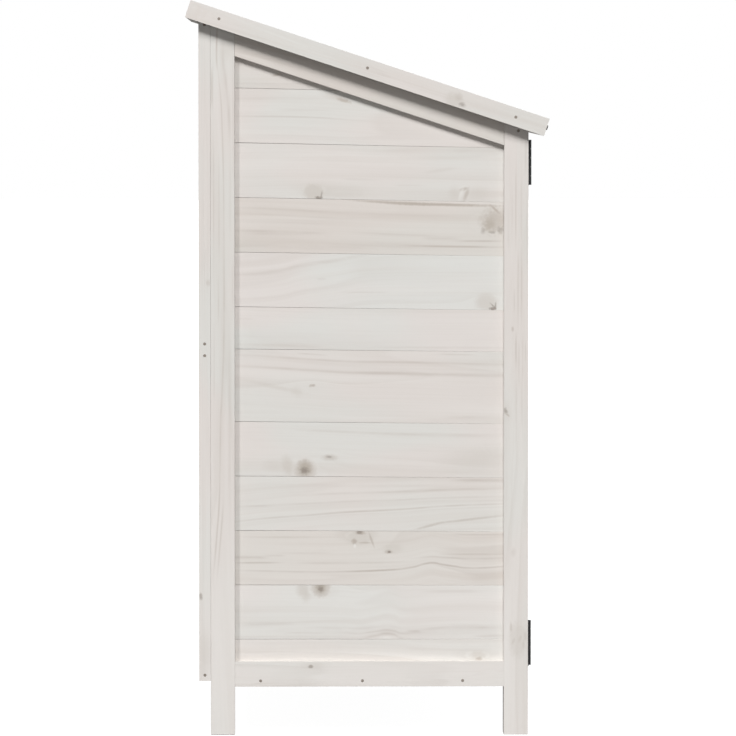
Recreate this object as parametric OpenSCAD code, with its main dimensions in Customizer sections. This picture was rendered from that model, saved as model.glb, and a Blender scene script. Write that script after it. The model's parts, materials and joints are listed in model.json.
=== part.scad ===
// Garden tool cabinet with a lean-to roof, built from whitewashed softwood.
// The doors face -Y, the back faces +Y, and the feet stand on Z = 0 below the middle of the roof.

/* [Frame] */
// Width of the frame over its posts
frame_w = 704; // [560:1:900]
// Depth of the frame over its posts
frame_d = 380; // [320:1:460]
// Side of a square post
post_w = 29; // [26:1:40]
// Height of the bottom rails above the ground
foot_h = 58; // [30:1:120]
// Height of the side bottom rails
rail_h = 30; // [24:1:45]
// Height of the sloped side rails, square to the slope
top_rail_h = 33.2; // [30:0.1:60]
// Height of the front sill
sill_h = 18; // [12:1:26]
// Depth of the grooves that hold the boards
groove_d = 6; // [4:0.5:8]

/* [Boards] */
// Width that one side board covers
board_w = 65; // [50:1:90]
// Width that the one wide side board covers
wide_board_w = 86.6; // [60:0.1:110]
// Width that the one narrow side board covers
narrow_board_w = 50.3; // [40:0.1:60]
// Height of the lowest seam above the bottom rail
first_seam = 26.2; // [15:0.1:60]
// Thickness of the side boards
board_t = 9; // [7.5:0.5:12]
// Thickness of the door, back, floor and shelf boards
thin_board_t = 8; // [6.5:0.5:9]
// Depth of the side boards behind the face of the frame
board_recess = 8.5; // [4:0.5:10]
// Angle in degrees that each side board leans more than the board below it
board_fan = 0.12; // [0:0.02:0.14]
// Height of a tongue
tongue_h = 5; // [3.5:0.5:7]
// Width of the open seam between two boards of the roof, back and doors
seam_gap = 0.4; // [0.2:0.1:1.5]
// Bevel along both edges of a board
board_bevel = 0.3; // [0.2:0.1:1.2]

/* [Roof] */
// Slope of the roof in degrees
roof_slope = 18.3; // [8:0.1:25]
// Height of the lower roof edge at the front
eave_h = 717.5; // [600:0.5:900]
// Height of the boards around the roof
edge_h = 21.5; // [18:0.5:40]
// Thickness of the boards around the roof
edge_t = 12; // [9:0.5:15]
// Thickness of the roof boards
deck_t = 14; // [10:0.5:16]
// Overhang of the roof past each side
side_overhang = 18; // [15:1:60]
// Overhang of the roof past the back panel
rear_overhang = 15.8; // [14:0.1:60]
// Overhang of the roof past the front posts
front_overhang = 24.4; // [22:0.1:80]

/* [Back and doors] */
// Thickness of the door and back frames
panel_t = 14; // [12:0.5:18]
// Width of the stiles and rails in the door and back frames
stile_w = 40; // [34:1:60]
// Height of the lower back panel above the ground
back_foot_h = 65; // [40:1:120]
// Height of the seam between the two back panels
back_seam_z = 462; // [380:1:520]
// Height of the doors' middle rails, at their centre
middle_rail_z = 462; // [380:1:520]
// Gap around and between the doors
door_gap = 2; // [1.5:0.1:4]
// Height of the strips that the doors close against
stop_h = 12; // [8:1:20]

/* [Inside] */
// Height of the shelf cleats' upper edge
shelf_z = 360; // [200:1:440]
// Width and height of a cleat
cleat_w = 14; // [10:1:20]
// Width of a floor or shelf slat
slat_w = 64; // [40:1:80]
// Gap between slats
slat_gap = 7; // [3:1:20]

/* [Hinges] */
// Height of a hinge
hinge_h = 54; // [40:1:76]
// Width of one hinge leaf
leaf_w = 20; // [15:1:22]
// Thickness of a hinge leaf
leaf_t = 1.2; // [1:0.1:1.5]
// Diameter of a hinge knuckle
knuckle_d = 4.8; // [4.4:0.1:6]
// Diameter of a hinge pin
pin_d = 2.2; // [1.8:0.1:2.4]
// Distance from a door's upper or lower edge to its nearest hinge
hinge_inset = 3; // [3:1:60]

/* [Bolt] */
// Height of the bolt, at its centre
bolt_z = 462; // [380:1:520]
// Diameter of the sliding rod
rod_d = 6; // [5:0.5:7]
// Travel of the sliding rod
bolt_travel = 13; // [8:0.5:14]
// Height of the bolt and keeper plates
plate_h = 30; // [26:1:40]
// Thickness of the bolt and keeper plates
plate_t = 1.2; // [1:0.1:2]
// Width of a strap around the rod
strap_w = 7; // [5:0.5:8]

/* [Nails] */
// Diameter of a nail
nail_d = 3.6; // [1.6:0.1:4]
// Distance from the ends of a barge board to its outer nails
barge_nail_inset = 39; // [25:1:80]

/* [Hidden] */
$fn = 48;
fit = 0.4;
slide_fit = 0.1;
pin_fit = 0.05;
knuckle_gap = 0.3;
// How far a cut runs past the face it opens
past = 1;

wood = "#dcd6d1";
black = "#26272a";
steel = "#8d8680";

// The roof sets the overall depth, and everything else is placed from its middle.
slope_sin = sin(roof_slope);
slope_cos = cos(roof_slope);
slope_tan = tan(roof_slope);
roof_d = frame_d + panel_t + rear_overhang + front_overhang;
roof_w = frame_w + 2 * side_overhang;
roof_l = (roof_d - edge_h * slope_sin) / slope_cos;
back_y = roof_d / 2 - rear_overhang;
rear_y = back_y - panel_t;
front_y = rear_y - frame_d;
eave_y = -roof_d / 2 + edge_h * slope_sin;
inner_rear_y = rear_y - post_w;
inner_front_y = front_y + post_w;
side_x = frame_w / 2;
inner_x = side_x - post_w;
rail_top = foot_h + rail_h;
function edge_z(y) = eave_h + (y - eave_y) * slope_tan;
function deck_z(y) = edge_z(y) + (edge_h - deck_t) / slope_cos;
function rail_z(y) = deck_z(y) - top_rail_h / slope_cos;

// Doors
door_w = (frame_w - 2 * post_w - 3 * door_gap) / 2;
sill_top = foot_h + sill_h;
door_low = sill_top + door_gap;
door_high = eave_h - door_gap;
stop_y = front_y + panel_t + fit;
board_inset = (panel_t - thin_board_t) / 2;
bay_low = middle_rail_z - stile_w / 2;
bay_high = middle_rail_z + stile_w / 2;

// Tongue and groove
function tongue_t(t) = t / 3;

// A box between two opposite corners
module span(low, high) translate(low) cube(high - low);

// An outline in the Y-Z plane, drawn out along X
module across(x, length) translate([x, 0, 0]) rotate([90, 0, 90]) linear_extrude(length) children();

// A board's section: thickness to the right, covered width upwards
module board_section(width, t, gap, tongue, groove) {
    top = tongue ? width - gap : width;
    difference() {
        union() {
            polygon([
                [board_bevel, 0], [t - board_bevel, 0], [t, board_bevel], [t, top - board_bevel],
                [t - board_bevel, top], [board_bevel, top], [0, top - board_bevel], [0, board_bevel]
            ]);
            if (tongue)
                translate([(t - tongue_t(t)) / 2, top - board_bevel])
                    square([tongue_t(t), tongue_h + board_bevel]);
        }
        if (groove)
            translate([(t - tongue_t(t)) / 2 - slide_fit, -past])
                square([tongue_t(t) + 2 * slide_fit, tongue_h + fit + past]);
    }
}

// A bay of level boards between two X positions, from one height to another
module bay(x_low, x_high, z_low, z_high, y) {
    count = max(1, round((z_high - z_low) / board_w));
    pitch = (z_high - z_low) / count;
    for (i = [0 : count - 1])
        translate([0, y, z_low + i * pitch])
            across(x_low, x_high - x_low)
                board_section(pitch, thin_board_t, seam_gap, i < count - 1, i > 0);
}

// Frame
// A post's outline seen from the side, cut to the slope at its top
module post_outline(y_low, y_high)
    polygon([[y_low, 0], [y_high, 0], [y_high, deck_z(y_high)], [y_low, deck_z(y_low)]]);

// side is -1 on the left and 1 on the right
function outer_x(side, depth, t) = side < 0 ? -side_x + depth : side_x - depth - t;

module post(side, y_low, y_high, groove_low, groove_high) {
    color(wood) difference() {
        across(outer_x(side, 0, post_w), post_w) post_outline(y_low, y_high);
        across(outer_x(side, board_recess, board_t), board_t)
            polygon([
                [groove_low, rail_top - groove_d], [groove_high, rail_top - groove_d],
                [groove_high, rail_z(groove_high) + groove_d], [groove_low, rail_z(groove_low) + groove_d]
            ]);
    }
}

module front_post(side) difference() {
    post(side, front_y, inner_front_y, inner_front_y - groove_d, inner_front_y + past);
    header_nail(side);
}
module rear_post(side) post(side, inner_rear_y, rear_y, inner_rear_y - past, inner_rear_y + groove_d);

module bottom_rail(side) {
    x = outer_x(side, 0, post_w);
    groove_x = outer_x(side, board_recess, board_t);
    color(wood) difference() {
        span([x, inner_front_y, foot_h], [x + post_w, inner_rear_y, rail_top]);
        span([groove_x, inner_front_y - past, rail_top - groove_d],
            [groove_x + board_t, inner_rear_y + past, rail_top + past]);
        cleat_nails(side);
    }
}

module top_rail(side) {
    color(wood) difference() {
        across(outer_x(side, 0, post_w), post_w)
            polygon([
                [inner_front_y, rail_z(inner_front_y)], [inner_rear_y, rail_z(inner_rear_y)],
                [inner_rear_y, deck_z(inner_rear_y)], [inner_front_y, deck_z(inner_front_y)]
            ]);
        across(outer_x(side, board_recess, board_t), board_t)
            polygon([
                [inner_front_y - past, rail_z(inner_front_y) - groove_d],
                [inner_rear_y + past, rail_z(inner_rear_y) - groove_d],
                [inner_rear_y + past, rail_z(inner_rear_y + past) + groove_d],
                [inner_front_y - past, rail_z(inner_front_y - past) + groove_d]
            ]);
    }
}

// Side boards, counted from the lowest. Each leans a little more than the one below it, so their seams
// are all but closed at the front and open towards the back.
side_low_y = inner_front_y - groove_d + fit;
side_high_y = inner_rear_y + groove_d - fit;
side_middle_y = (side_low_y + side_high_y) / 2;
closed_gap = 0.05;
side_gap = closed_gap + (side_high_y - side_low_y) / 2 * tan(board_fan);
wide_board = 5;
narrow_board = 6;
function side_board_w(i) = i == wide_board ? wide_board_w : i == narrow_board ? narrow_board_w : board_w;
function side_seam(i) =
    i == 0 ? rail_top + first_seam - side_board_w(0) : side_seam(i - 1) + side_board_w(i - 1);
side_top = rail_z(inner_rear_y) + groove_d;
side_count = len([for (i = [0 : 20]) if (side_seam(i) < side_top - tongue_h) i]);

module side_outline() {
    low_z = rail_top - groove_d;
    polygon([
        [side_low_y, low_z], [side_high_y, low_z],
        [side_high_y, rail_z(side_high_y) + groove_d - fit],
        [side_low_y, rail_z(side_low_y) + groove_d - fit]
    ]);
}

module side_boards(side) {
    x = outer_x(side, board_recess, board_t);
    color(wood) for (i = [0 : side_count - 1])
        intersection() {
            across(x, board_t) side_outline();
            translate([x, side_middle_y, side_seam(i)])
                rotate([i * board_fan, 0, 0])
                    translate([0, frame_d / 2, 0])
                        rotate([90, 0, 0])
                            linear_extrude(frame_d)
                                board_section(side_board_w(i), board_t, side_gap,
                                    i < side_count - 1, i > 0);
        }
}

module front_header() {
    color(wood) difference() {
        across(-inner_x, 2 * inner_x)
            polygon([
                [front_y, eave_h], [inner_front_y, eave_h],
                [inner_front_y, deck_z(inner_front_y)], [front_y, deck_z(front_y)]
            ]);
        header_nail(-1);
        header_nail(1);
    }
}

module front_sill() {
    color(wood) span([-inner_x, front_y, foot_h], [inner_x, inner_front_y, sill_top]);
}

module top_door_stop() {
    color(wood) span([-inner_x, stop_y, eave_h - stop_h], [inner_x, inner_front_y, eave_h]);
}

module bottom_door_stop() {
    color(wood) span([-inner_x, stop_y, sill_top], [inner_x, inner_front_y, sill_top + stop_h]);
}

// Back, two framed panels with one resting on the other
upper_back_low = back_seam_z + stile_w;
upper_back_high = deck_z(rear_y) - stile_w;
lower_back_low = back_foot_h + stile_w;
lower_back_high = back_seam_z - stile_w;
back_rail_x = side_x - stile_w;
back_board_y = rear_y + board_inset;

// The outline of the back, seen from the side, from one height up to another or up to the roof
module back_outline(low, high)
    intersection() {
        polygon([[rear_y, low], [back_y, low], [back_y, deck_z(back_y)], [rear_y, deck_z(rear_y)]]);
        translate([rear_y, low]) square([panel_t, high - low]);
    }

module back_stile(side, low, high, bay) {
    x = side < 0 ? -side_x : side_x - stile_w;
    groove_x = side < 0 ? x + stile_w - groove_d : x - past;
    color(wood) difference() {
        across(x, stile_w) back_outline(low, high);
        span([groove_x, back_board_y, bay[0] - groove_d],
            [groove_x + groove_d + past, back_board_y + thin_board_t, bay[1] + groove_d]);
        panel_nails(side);
    }
}

roof_z = deck_z(back_y);

module upper_back_stile(side) back_stile(side, back_seam_z, roof_z, [upper_back_low, upper_back_high]);
module lower_back_stile(side) back_stile(side, back_foot_h, back_seam_z, [lower_back_low, lower_back_high]);

// A level rail of a framed panel, grooved below and above where boards enter it
module panel_rail(x_low, x_high, y, z_low, z_high, below, above) {
    color(wood) difference() {
        span([x_low, y, z_low], [x_high, y + panel_t, z_high]);
        if (below)
            span([x_low - past, y + board_inset, z_low - past],
                [x_high + past, y + board_inset + thin_board_t, z_low + groove_d]);
        if (above)
            span([x_low - past, y + board_inset, z_high - groove_d],
                [x_high + past, y + board_inset + thin_board_t, z_high + past]);
    }
}

module back_rail(z_low, z_high, below, above) difference() {
    panel_rail(-back_rail_x, back_rail_x, rear_y, z_low, z_high, below, above);
    panel_nails(-1);
    panel_nails(1);
}

module lower_back_bottom_rail() back_rail(back_foot_h, lower_back_low, false, true);
module lower_back_top_rail() back_rail(lower_back_high, back_seam_z, true, false);
module upper_back_bottom_rail() back_rail(back_seam_z, upper_back_low, false, true);
module upper_back_top_rail() intersection() {
    back_rail(upper_back_high, roof_z, true, false);
    across(-side_x, frame_w) back_outline(upper_back_high, roof_z);
}

back_board_x = back_rail_x + groove_d - fit;
module back_boards(low, high)
    color(wood) bay(-back_board_x, back_board_x, low - groove_d, high + groove_d - fit, back_board_y);
module lower_back_boards() back_boards(lower_back_low, lower_back_high);
module upper_back_boards() back_boards(upper_back_low, upper_back_high);

// Floor and shelf
slat_low_y = inner_front_y;
slat_room = rear_y - slat_low_y;
slat_count = floor((slat_room + slat_gap) / (slat_w + slat_gap));
slat_pitch = (slat_room - slat_w) / (slat_count - 1);

module cleat(side, z) {
    x = side < 0 ? -inner_x : inner_x - cleat_w;
    low_y = z < sill_top + stop_h ? slat_low_y : stop_y;
    color(wood) difference() {
        span([x, low_y, z - cleat_w], [x + cleat_w, rear_y, z]);
        cleat_nails(side);
    }
}

module slats(z) {
    color(wood) for (i = [0 : slat_count - 1])
        span([-inner_x, slat_low_y + i * slat_pitch, z],
            [inner_x, slat_low_y + i * slat_pitch + slat_w, z + thin_board_t]);
}

floor_z = foot_h + cleat_w;
module floor_slats() slats(floor_z);
module shelf_slats() slats(shelf_z);

// Roof, modelled flat from its lower front edge and then tilted
module on_slope() translate([0, eave_y, eave_h]) rotate([roof_slope, 0, 0]) children();

module barge_board(side) {
    x = side < 0 ? -roof_w / 2 : roof_w / 2 - edge_t;
    color(wood) difference() {
        on_slope() span([x, 0, 0], [x + edge_t, roof_l, edge_h]);
        barge_nails(side);
    }
}

tray_x = roof_w / 2 - edge_t;
screw_inset = 12;
screw_x = tray_x - screw_inset;
screw_d = 3.5;
screw_l = 10;
screw_head_d = 6;
screw_head_h = 2.2;

module front_fascia() {
    color(wood) on_slope() difference() {
        span([-tray_x, 0, 0], [tray_x, edge_t, edge_h]);
        for (x = [-screw_x, screw_x])
            translate([x, -past, edge_h / 2]) rotate([-90, 0, 0]) cylinder(d = screw_d, h = screw_l + past);
    }
}

module fascia_screws() {
    color(black) on_slope() for (x = [-screw_x, screw_x])
        translate([x, 0, edge_h / 2]) {
            rotate([-90, 0, 0]) cylinder(d = screw_d, h = screw_l);
            rotate([90, 0, 0]) cylinder(d = screw_head_d, h = screw_head_h);
        }
}

module rear_fascia() {
    color(wood) on_slope() span([-tray_x, roof_l - edge_t, 0], [tray_x, roof_l, edge_h]);
}

deck_l = roof_l - 2 * edge_t;
deck_count = round(deck_l / board_w);
deck_pitch = deck_l / deck_count;

module roof_boards() {
    color(wood) difference() {
        on_slope() for (i = [0 : deck_count - 1])
            translate([-tray_x, edge_t + i * deck_pitch, edge_h])
                rotate([0, 90, 0])
                    linear_extrude(2 * tray_x)
                        board_section(deck_pitch, deck_t, seam_gap, i < deck_count - 1, i > 0);
        barge_nails(-1);
        barge_nails(1);
    }
}

// Doors
function door_x(side) = side < 0 ? -inner_x + door_gap : door_gap / 2;
door_bay_w = door_w - 2 * stile_w;

// edge is "hinge" or "meeting"
module door_stile(side, edge) {
    left_edge = (edge == "hinge") == (side < 0);
    x = left_edge ? door_x(side) : door_x(side) + door_w - stile_w;
    groove_x = left_edge ? x + stile_w - groove_d : x - past;
    color(wood) difference() {
        span([x, front_y, door_low], [x + stile_w, front_y + panel_t, door_high]);
        for (z = [[door_low + stile_w - groove_d, bay_low + groove_d],
                  [bay_high - groove_d, door_high - stile_w + groove_d]])
            span([groove_x, front_y + board_inset, z[0]],
                [groove_x + groove_d + past, front_y + board_inset + thin_board_t, z[1]]);
    }
}

module door_rail(side, z_low, z_high, below, above) {
    x = door_x(side) + stile_w;
    panel_rail(x, x + door_bay_w, front_y, z_low, z_high, below, above);
}

module door_top_rail(side) door_rail(side, door_high - stile_w, door_high, true, false);
module door_middle_rail(side) door_rail(side, bay_low, bay_high, true, true);
module door_bottom_rail(side) door_rail(side, door_low, door_low + stile_w, false, true);

module door_bay(side, z_low, z_high) {
    x = door_x(side) + stile_w - groove_d + fit;
    color(wood) bay(x, x + door_bay_w + 2 * (groove_d - fit), z_low - groove_d, z_high + groove_d - fit,
        front_y + board_inset);
}

module door_upper_boards(side) door_bay(side, bay_high, door_high - stile_w);
module door_lower_boards(side) door_bay(side, door_low + stile_w, bay_low);

// Hinges
function hinge_x(side) = side * (inner_x - door_gap / 2);
hinge_y = front_y - knuckle_d / 2;
knuckles = 5;
knuckle_h = (hinge_h - (knuckles - 1) * knuckle_gap) / knuckles;

// towards is -1 for a leaf that runs to the left of its pin and 1 for one that runs to the right
module hinge_leaf(towards, first) {
    difference() {
        union() {
            scale([towards, 1, 1])
                span([knuckle_d / 2 + knuckle_gap, knuckle_d / 2 - leaf_t, -hinge_h / 2],
                    [leaf_w, knuckle_d / 2, hinge_h / 2]);
            for (i = [first : 2 : knuckles - 1])
                translate([0, 0, -hinge_h / 2 + i * (knuckle_h + knuckle_gap)]) {
                    cylinder(d = knuckle_d, h = knuckle_h);
                    scale([towards, 1, 1])
                        span([0, knuckle_d / 2 - leaf_t, 0],
                            [knuckle_d / 2 + past, knuckle_d / 2, knuckle_h]);
                }
        }
        translate([0, 0, -hinge_h / 2 - past]) cylinder(d = pin_d + 2 * pin_fit, h = hinge_h + 2 * past);
    }
}

hinge_end = hinge_inset + hinge_h / 2;
module at_hinges(side) for (z = [door_low + hinge_end, door_high - hinge_end])
    translate([hinge_x(side), hinge_y, z]) children();

module post_hinge_leaves(side) color(black) at_hinges(side) scale([-side, 1, 1]) hinge_leaf(-1, 0);
module door_hinge_leaves(side) color(black) at_hinges(side) scale([-side, 1, 1]) hinge_leaf(1, 1);
module hinge_pins(side) color(black) at_hinges(side)
    translate([0, 0, -hinge_h / 2]) cylinder(d = pin_d, h = hinge_h);

// Bolt on the right door, with its rod drawn back
plate_y = front_y - plate_t;
rod_lift = 0.5;
rod_y = plate_y - rod_lift - rod_d / 2;
strap_wall = 1.4;
strap_edge = 1;
knob_d = 5;
knob_l = 9;
knob_room = 0.5;
rod_tail = 15;
plate_edge = door_gap / 2 + 1.5;
plate_w = 2 * (strap_edge + strap_w + knob_room) + knob_d + bolt_travel;
rod_l = plate_w + rod_tail;
near_strap_x = plate_edge + strap_edge;
far_strap_x = plate_edge + plate_w - strap_w - strap_edge;
knob_x = far_strap_x - knob_room - knob_d / 2;
keeper_w = 14;
keeper_fit = 0.8;

// A strap that is arched closely over the rod and let into its plate
module rod_strap(x) {
    outer = rod_d / 2 + slide_fit + strap_wall;
    across(x, strap_w) difference() {
        union() {
            intersection() {
                translate([rod_y, bolt_z]) circle(r = outer);
                translate([rod_y - outer, bolt_z - outer]) square([plate_y - rod_y + outer, 2 * outer]);
            }
            translate([rod_y, bolt_z - outer]) square([front_y - rod_y, 2 * outer]);
        }
        translate([rod_y, bolt_z]) circle(d = rod_d + 2 * slide_fit);
    }
}

// The keeper's square loop, which leaves the rod room to enter
module keeper_loop(x) {
    half = rod_d / 2 + keeper_fit;
    across(x, strap_w) difference() {
        translate([rod_y - half - strap_wall, bolt_z - half - strap_wall])
            square([front_y - rod_y + half + strap_wall, 2 * (half + strap_wall)]);
        translate([rod_y - half, bolt_z - half]) square([plate_y - rod_y + half, 2 * half]);
    }
}

module bolt_plate() {
    color(black) {
        span([plate_edge, plate_y, bolt_z - plate_h / 2],
            [plate_edge + plate_w, front_y, bolt_z + plate_h / 2]);
        rod_strap(near_strap_x);
        rod_strap(far_strap_x);
    }
}

module bolt_rod() {
    color(black) {
        translate([plate_edge, rod_y, bolt_z]) rotate([0, 90, 0]) cylinder(d = rod_d, h = rod_l);
        translate([knob_x, rod_y, bolt_z - rod_d / 2 - knob_l])
            cylinder(d = knob_d, h = rod_d / 2 + knob_l);
    }
}

module bolt_keeper() {
    color(black) {
        span([-plate_edge - keeper_w, plate_y, bolt_z - plate_h / 2],
            [-plate_edge, front_y, bolt_z + plate_h / 2]);
        keeper_loop(-plate_edge - strap_edge - strap_w);
    }
}

// Nails, each driven inwards from a side of the cabinet. The same shapes cut the holes they sit in.
nail_hold = 10;
cleat_nail_places = [0.153, 0.526, 0.905];
panel_nail_edge = 7;
header_nail_z = eave_h + 6;
barge_nail_edge = 3.25;
barge_nail_z = edge_h - deck_t + barge_nail_edge;

// A nail that starts at depth x from the middle and runs inwards
module nail(side, x, y, z, length)
    translate([side * x, y, z]) rotate([0, -side * 90, 0]) cylinder(d = nail_d, h = length);

// Through a side rail into the floor cleat behind it
module cleat_nails(side)
    for (place = cleat_nail_places)
        nail(side, side_x, inner_front_y + place * (inner_rear_y - inner_front_y), foot_h + cleat_w / 2,
            post_w + nail_hold);

// Through a back stile into the ends of the back rails
module panel_nails(side)
    for (z = [back_foot_h + panel_nail_edge, back_seam_z - panel_nail_edge, back_seam_z + panel_nail_edge,
              deck_z(rear_y) - panel_nail_edge])
        nail(side, side_x, rear_y + panel_t / 2, z, stile_w + nail_hold);

// Through a front post into the end of the header
module header_nail(side)
    nail(side, side_x, front_y + panel_t - nail_d / 2, header_nail_z, post_w + nail_hold);

// Through a barge board into the ends of the roof boards
module barge_nails(side)
    on_slope()
        for (y = [barge_nail_inset, roof_l / 2, roof_l - barge_nail_inset])
            nail(side, roof_w / 2, y, barge_nail_z, edge_t + nail_hold);

module frame_nails() color(steel) for (side = [-1, 1]) {
    cleat_nails(side);
    panel_nails(side);
    header_nail(side);
    barge_nails(side);
}

front_post(-1);  // left_front_post
rear_post(-1);  // left_rear_post
front_post(1);  // right_front_post
rear_post(1);  // right_rear_post
bottom_rail(-1);  // left_bottom_rail
bottom_rail(1);  // right_bottom_rail
top_rail(-1);  // left_top_rail
top_rail(1);  // right_top_rail
side_boards(-1);  // left_side_boards
side_boards(1);  // right_side_boards
front_header();
front_sill();
top_door_stop();
bottom_door_stop();
upper_back_stile(-1);  // upper_back_left_stile
upper_back_stile(1);  // upper_back_right_stile
upper_back_top_rail();
upper_back_bottom_rail();
upper_back_boards();
lower_back_stile(-1);  // lower_back_left_stile
lower_back_stile(1);  // lower_back_right_stile
lower_back_top_rail();
lower_back_bottom_rail();
lower_back_boards();
cleat(-1, floor_z);  // left_floor_cleat
cleat(1, floor_z);  // right_floor_cleat
floor_slats();
cleat(-1, shelf_z);  // left_shelf_cleat
cleat(1, shelf_z);  // right_shelf_cleat
shelf_slats();
barge_board(-1);  // left_barge_board
barge_board(1);  // right_barge_board
front_fascia();
rear_fascia();
roof_boards();
fascia_screws();
door_stile(-1, "hinge");  // left_door_hinge_stile
door_stile(-1, "meeting");  // left_door_meeting_stile
door_top_rail(-1);  // left_door_top_rail
door_middle_rail(-1);  // left_door_middle_rail
door_bottom_rail(-1);  // left_door_bottom_rail
door_upper_boards(-1);  // left_door_upper_boards
door_lower_boards(-1);  // left_door_lower_boards
door_stile(1, "hinge");  // right_door_hinge_stile
door_stile(1, "meeting");  // right_door_meeting_stile
door_top_rail(1);  // right_door_top_rail
door_middle_rail(1);  // right_door_middle_rail
door_bottom_rail(1);  // right_door_bottom_rail
door_upper_boards(1);  // right_door_upper_boards
door_lower_boards(1);  // right_door_lower_boards
post_hinge_leaves(-1);  // left_post_hinge_leaves
door_hinge_leaves(-1);  // left_door_hinge_leaves
hinge_pins(-1);  // left_hinge_pins
post_hinge_leaves(1);  // right_post_hinge_leaves
door_hinge_leaves(1);  // right_door_hinge_leaves
hinge_pins(1);  // right_hinge_pins
bolt_plate();
bolt_rod();
bolt_keeper();
frame_nails();
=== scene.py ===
import json
import math

import bpy
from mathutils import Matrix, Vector


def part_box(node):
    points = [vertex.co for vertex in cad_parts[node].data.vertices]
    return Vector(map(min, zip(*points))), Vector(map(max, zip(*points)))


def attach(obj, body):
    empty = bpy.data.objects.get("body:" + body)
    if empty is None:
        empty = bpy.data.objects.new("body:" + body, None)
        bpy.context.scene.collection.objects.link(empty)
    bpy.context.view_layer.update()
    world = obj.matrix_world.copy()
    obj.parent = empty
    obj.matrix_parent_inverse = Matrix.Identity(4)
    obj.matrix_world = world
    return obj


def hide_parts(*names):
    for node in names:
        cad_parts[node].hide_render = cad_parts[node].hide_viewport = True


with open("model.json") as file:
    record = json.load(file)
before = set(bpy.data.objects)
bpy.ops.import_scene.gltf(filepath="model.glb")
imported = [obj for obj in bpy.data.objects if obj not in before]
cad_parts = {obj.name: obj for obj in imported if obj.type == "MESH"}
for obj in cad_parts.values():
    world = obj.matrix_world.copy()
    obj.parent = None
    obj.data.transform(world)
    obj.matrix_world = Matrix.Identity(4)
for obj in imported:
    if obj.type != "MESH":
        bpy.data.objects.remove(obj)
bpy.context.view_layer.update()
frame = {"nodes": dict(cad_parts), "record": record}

# A whitewashed lean-to tool shed. Metres, doors towards -Y, back towards +Y, feet on Z = 0.

bodies = frame["record"]["behaviour"]["bodies"]
body_of_node = {node: body for body, nodes in bodies.items() for node in nodes}
slot_of_node = {part["node"]: part["material_slot"] for part in frame["record"]["subparts"]}

# The photograph is square-on to the left side, so a place on that side is read straight from it.
# PIXEL is the size of one of its pixels there, in metres.
PIXEL = 0.0012
MIDDLE_COLUMN = 367.0
GROUND_ROW = 734.5
LEFT_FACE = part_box("left_front_post")[0].x


def on_side(column, row):
    """Y and Z of a place on the left side, from its column and row in the photograph."""
    return (MIDDLE_COLUMN - column) * PIXEL, (GROUND_ROW - row) * PIXEL


# Camera and light


# Where the camera points, as column and row of the photograph, and how wide a part of the left side's
# plane it takes in
CENTRE = (367.8, 367.7)
FRAME_WIDTH = 0.8799
# The undersides seen at the ends of the roof say how far back and high the eye was
EYE_DISTANCE = 7.5
EYE_BACK = 0.14
EYE_HEIGHT = 0.8


def add_camera():
    """A long lens, square-on to the left side."""
    aim = Vector((LEFT_FACE, *on_side(*CENTRE)))
    eye = Vector((LEFT_FACE - EYE_DISTANCE, EYE_BACK, EYE_HEIGHT))
    data = bpy.data.cameras.new("camera")
    data.sensor_width = 36.0
    data.lens = data.sensor_width * (aim - eye).length / FRAME_WIDTH
    data.clip_start = 0.1
    data.clip_end = 100
    camera = bpy.data.objects.new("camera", data)
    camera.location = eye
    camera.rotation_euler = (aim - eye).to_track_quat("-Z", "Y").to_euler()
    bpy.context.collection.objects.link(camera)
    bpy.context.scene.camera = camera


# The lamps face the middle of the shed from this far away
MIDDLE = Vector((0, 0, 0.44))
LAMP_DISTANCE = 40.0


def add_softbox(name, azimuth, elevation, watts, size):
    """A square lamp that faces the middle of the shed. Azimuth 0 is the -X side and 90 the +Y side."""
    data = bpy.data.lights.new(name, "AREA")
    data.shape = "SQUARE"
    data.size = size
    data.energy = watts
    lamp = bpy.data.objects.new(name, data)
    turn, rise = math.radians(azimuth), math.radians(elevation)
    away = Vector((-math.cos(turn) * math.cos(rise), math.sin(turn) * math.cos(rise), math.sin(rise)))
    lamp.location = MIDDLE + away * LAMP_DISTANCE
    lamp.rotation_euler = (-away).to_track_quat("-Z", "Y").to_euler()
    bpy.context.collection.objects.link(lamp)


ROOM_LIGHT = (1, 0.975, 0.94, 1)
WHITE = (1, 1, 1, 1)


def add_world(ambient):
    """An even pale room that looks white to the camera and in reflections."""
    world = bpy.data.worlds.new("room")
    bpy.context.scene.world = world
    world.use_nodes = True
    tree = world.node_tree
    tree.nodes.clear()
    path = tree.nodes.new("ShaderNodeLightPath")
    seen = tree.nodes.new("ShaderNodeMath")
    seen.operation = "MAXIMUM"
    also = tree.nodes.new("ShaderNodeMath")
    also.operation = "MAXIMUM"
    room = tree.nodes.new("ShaderNodeBackground")
    white = tree.nodes.new("ShaderNodeBackground")
    mix = tree.nodes.new("ShaderNodeMixShader")
    out = tree.nodes.new("ShaderNodeOutputWorld")
    room.inputs["Strength"].default_value = ambient
    room.inputs["Color"].default_value = ROOM_LIGHT
    white.inputs["Color"].default_value = WHITE
    tree.links.new(path.outputs["Is Camera Ray"], seen.inputs[0])
    tree.links.new(path.outputs["Is Glossy Ray"], seen.inputs[1])
    tree.links.new(seen.outputs[0], also.inputs[0])
    tree.links.new(path.outputs["Is Transmission Ray"], also.inputs[1])
    tree.links.new(also.outputs[0], mix.inputs[0])
    tree.links.new(room.outputs[0], mix.inputs[1])
    tree.links.new(white.outputs[0], mix.inputs[2])
    tree.links.new(mix.outputs[0], out.inputs["Surface"])


# The floor reflects little light on the shed, and glows white to the camera but for the shed's faint shadow
FLOOR_SIZE = 60
FLOOR_BELOW = 0.0005
FLOOR_GREY = (0.26, 0.26, 0.26, 1)
SHADOW_GREY = (0.24, 0.24, 0.24, 1)
FLOOR_GLOW = 0.98


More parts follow.
